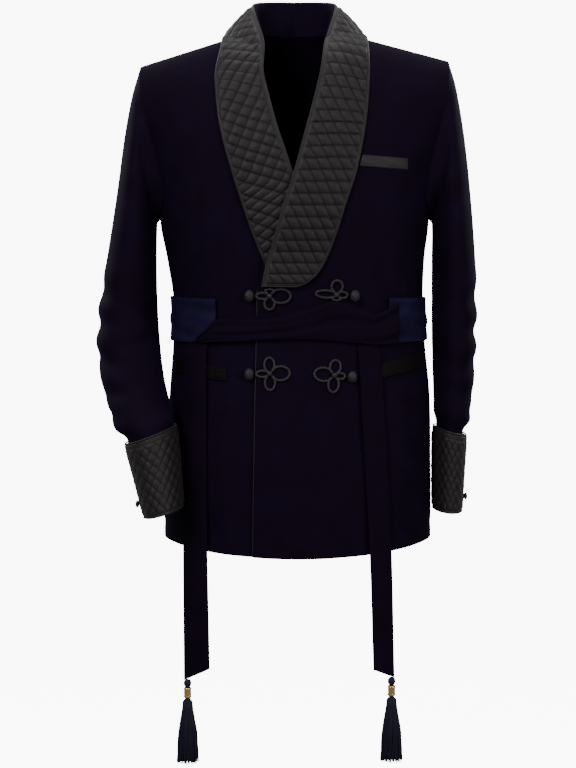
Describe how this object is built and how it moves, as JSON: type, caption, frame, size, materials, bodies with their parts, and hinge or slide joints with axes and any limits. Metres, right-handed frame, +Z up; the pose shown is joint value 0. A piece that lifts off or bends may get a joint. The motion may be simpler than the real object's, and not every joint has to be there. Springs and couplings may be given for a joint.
{
  "type": "smoking jacket",
  "caption": "Velvet smoking jacket with quilted satin shawl collar and cuffs, cord frogs and a tasselled sash, worn closed.",
  "frame": {"origin": "the middle of the neck opening, level with the tops of the shoulders", "axes": "+Z up along the body, -Y out of the front, +X to the wearer's left"},
  "size_m": [0.5835, 0.3128, 1.1664],
  "materials": {
    "velvet": "midnight blue cotton velvet, short dense pile",
    "satin": "black satin, quilted over wadding",
    "braid": "dark rayon cord",
    "tassel": "midnight blue thread",
    "gold": "polished brass"
  },
  "bodies": {
    "root": {"back_left": "velvet", "back_right": "velvet", "breast_welt": "satin", "collar_stand": "velvet", "cuff_button_left": "braid", "cuff_button_right": "braid", "cuff_cord_left": "braid", "cuff_cord_right": "braid", "cuff_left": "satin", "cuff_right": "satin", "ferrule_left": "gold", "ferrule_right": "gold", "frog_lower_left": "braid", "frog_lower_right": "braid", "frog_upper_left": "braid", "frog_upper_right": "braid", "front_cord": "braid", "front_left": "velvet", "front_right": "velvet", "hip_welt_left": "satin", "hip_welt_right": "satin", "knot_lower_left": "braid", "knot_lower_right": "braid", "knot_upper_left": "braid", "knot_upper_right": "braid", "sash_around": "velvet", "sash_front": "velvet", "shawl_left": "satin", "shawl_right": "satin", "sleeve_under_left": "velvet", "sleeve_under_right": "velvet", "sleeve_upper_left": "velvet", "sleeve_upper_right": "velvet", "tail_left": "velvet", "tail_right": "velvet", "tassel_left": "tassel", "tassel_right": "tassel"}
  },
  "joints": []
}
